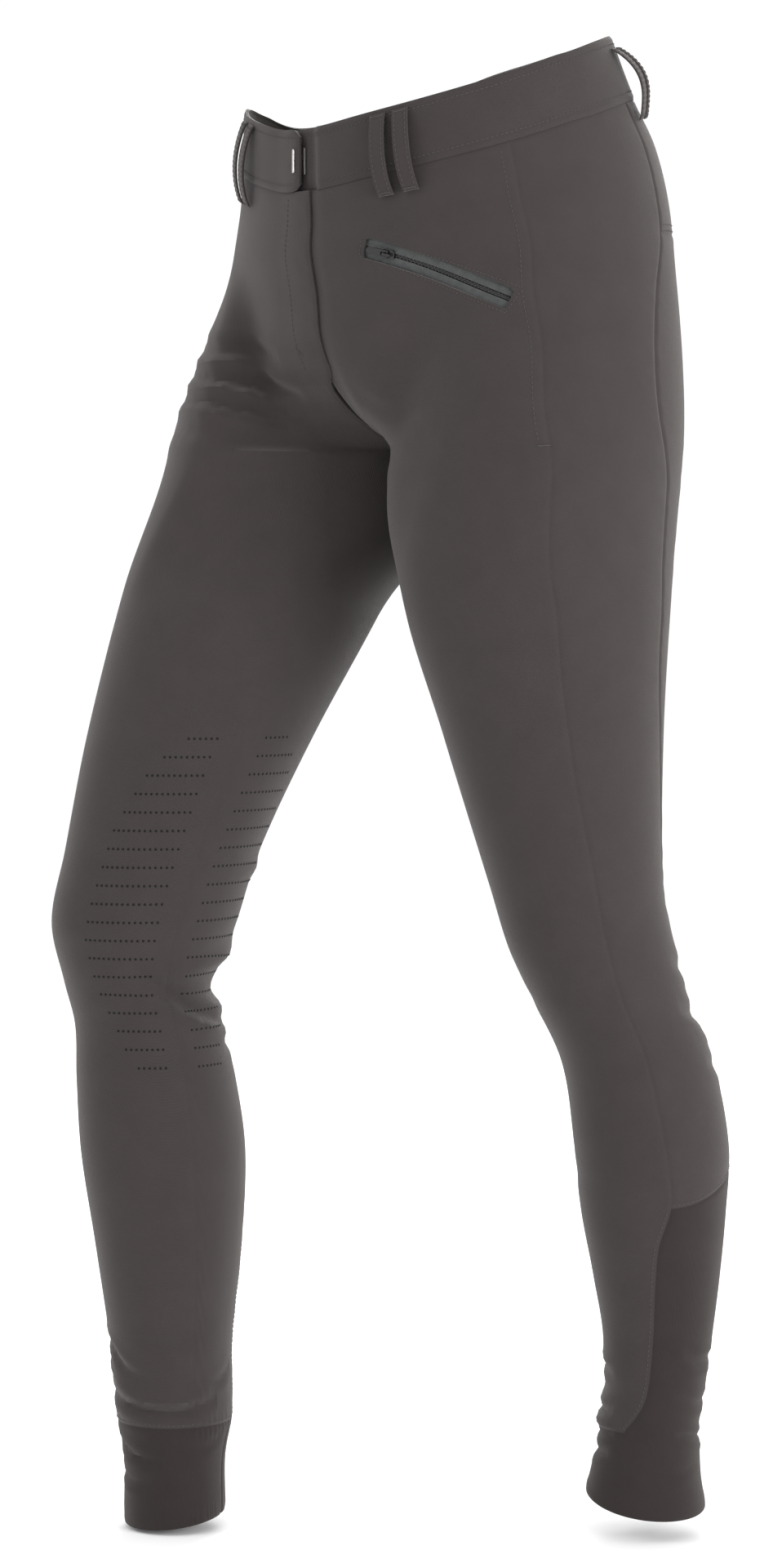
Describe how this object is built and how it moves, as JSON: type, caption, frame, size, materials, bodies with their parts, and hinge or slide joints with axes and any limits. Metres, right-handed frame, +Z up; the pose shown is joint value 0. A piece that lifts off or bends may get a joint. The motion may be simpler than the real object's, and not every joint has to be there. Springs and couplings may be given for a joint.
{
  "type": "riding breeches",
  "caption": "Low-waisted stretch riding breeches worn hollow, one leg a step forward, with belt loops, a zip pocket and darker jersey calf inserts.",
  "frame": {"origin": "middle of the waist opening, within the height of the waistband", "axes": "+Z up, -Y the wearer's front, +X the wearer's left"},
  "size_m": [0.3594, 0.348, 0.9819],
  "materials": {
    "stretch_cloth": "matt dark taupe-grey stretch twill",
    "jersey": "darker matt stretch jersey",
    "zip_tape": "smooth coated grey zip tape",
    "coil": "black coil",
    "black_metal": "black coated metal",
    "bright_metal": "bright steel"
  },
  "bodies": {
    "garment": {"waistband_right": "stretch_cloth", "waistband_left": "stretch_cloth", "front_left": "stretch_cloth", "side_back_left": "stretch_cloth", "yoke_left": "stretch_cloth", "seat_left": "stretch_cloth", "cuff_left": "jersey", "front_right": "stretch_cloth", "side_back_right": "stretch_cloth", "yoke_right": "stretch_cloth", "seat_right": "stretch_cloth", "cuff_right": "jersey", "belt_loop_front_1_left": "stretch_cloth", "belt_loop_front_2_left": "stretch_cloth", "belt_loop_back_1_left": "stretch_cloth", "belt_loop_back_2_left": "stretch_cloth", "belt_loop_front_1_right": "stretch_cloth", "belt_loop_front_2_right": "stretch_cloth", "belt_loop_back_1_right": "stretch_cloth", "belt_loop_back_2_right": "stretch_cloth", "pocket_tape_upper": "zip_tape", "pocket_tape_lower": "zip_tape", "pocket_coil": "coil", "pocket_slider": "black_metal", "clasp_bar": "bright_metal", "clasp_hook": "bright_metal", "clasp_face": "bright_metal"},
    "pull_tab": {"pocket_pull": "black_metal"}
  },
  "joints": [
    {"name": "pull_tab_hinge", "type": "hinge", "parent": "garment", "child": "pull_tab", "pos_m": [0.07037, -0.09627, -0.11041], "axis": [0.3072, -0.0896, 0.9474], "range_deg": [0, 150]}
  ]
}
